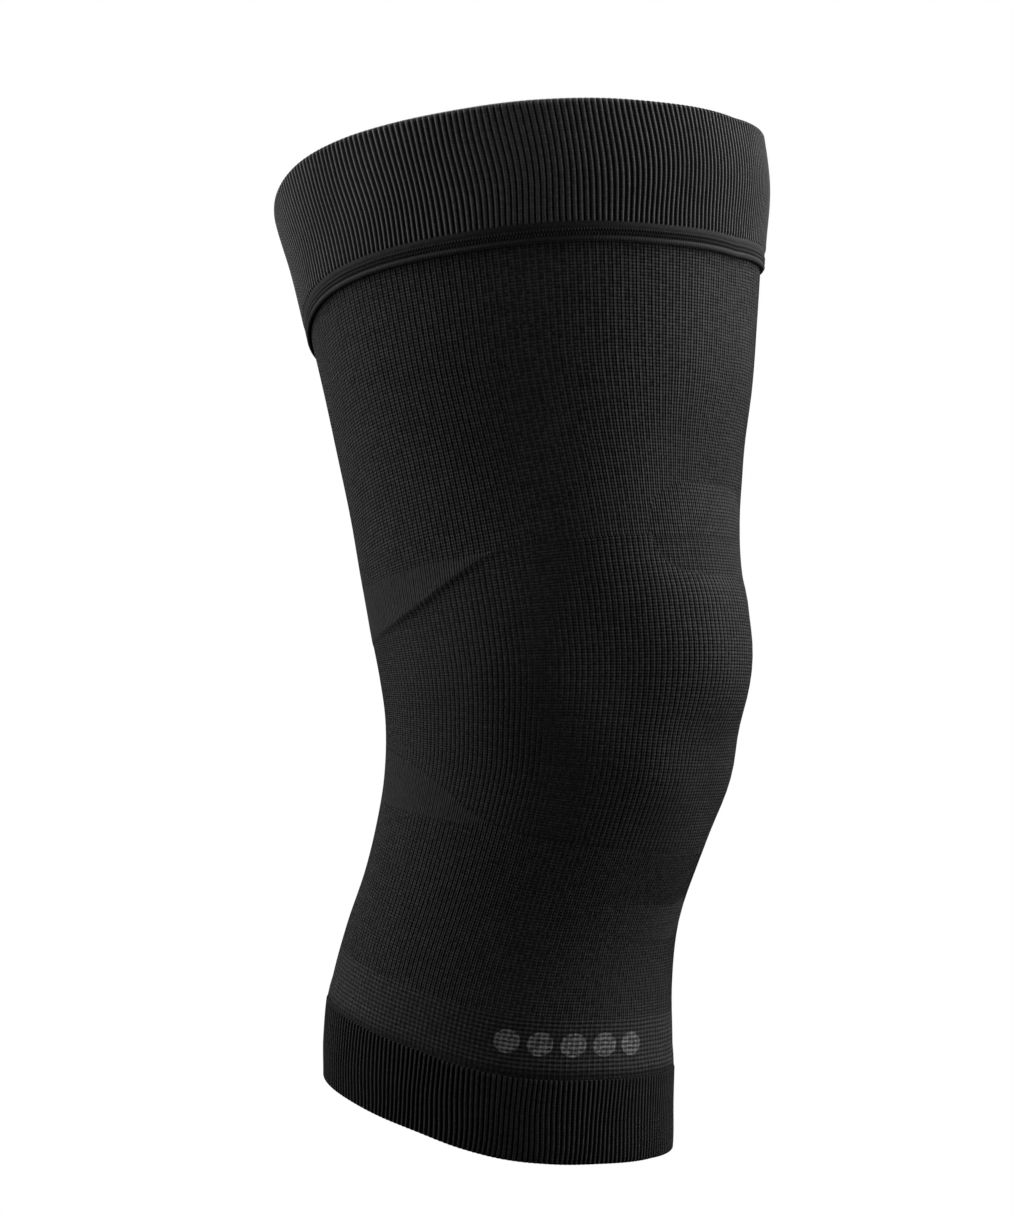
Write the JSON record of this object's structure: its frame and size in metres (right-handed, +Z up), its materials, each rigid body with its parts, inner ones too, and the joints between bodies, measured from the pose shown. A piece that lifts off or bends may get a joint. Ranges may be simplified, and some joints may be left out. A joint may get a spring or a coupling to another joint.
{
  "type": "knee sleeve",
  "caption": "Seamless knitted compression knee sleeve in its worn form, with a wide ribbed thigh cuff, a stitched hem and a narrow calf cuff.",
  "frame": {"origin": "middle of the knee on the leg's axis, where the leg holds the sleeve", "axes": "+Z up the thigh, -Y out of the kneecap, +X to the wearer's left"},
  "size_m": [0.1568, 0.1554, 0.3256],
  "materials": {
    "cuff_rib": "matt black ribbed knit of elastic and polyamide yarn",
    "hem_knit": "smooth black hem with two rows of stitching",
    "body_knit": "matt black waffle knit with fine ribs and a faint sheen",
    "calf_rib": "matt black fine ribbed knit"
  },
  "bodies": {
    "root": {"thigh_cuff": "cuff_rib", "cuff_seam": "hem_knit", "sleeve_body": "body_knit", "calf_cuff": "calf_rib"}
  },
  "joints": []
}
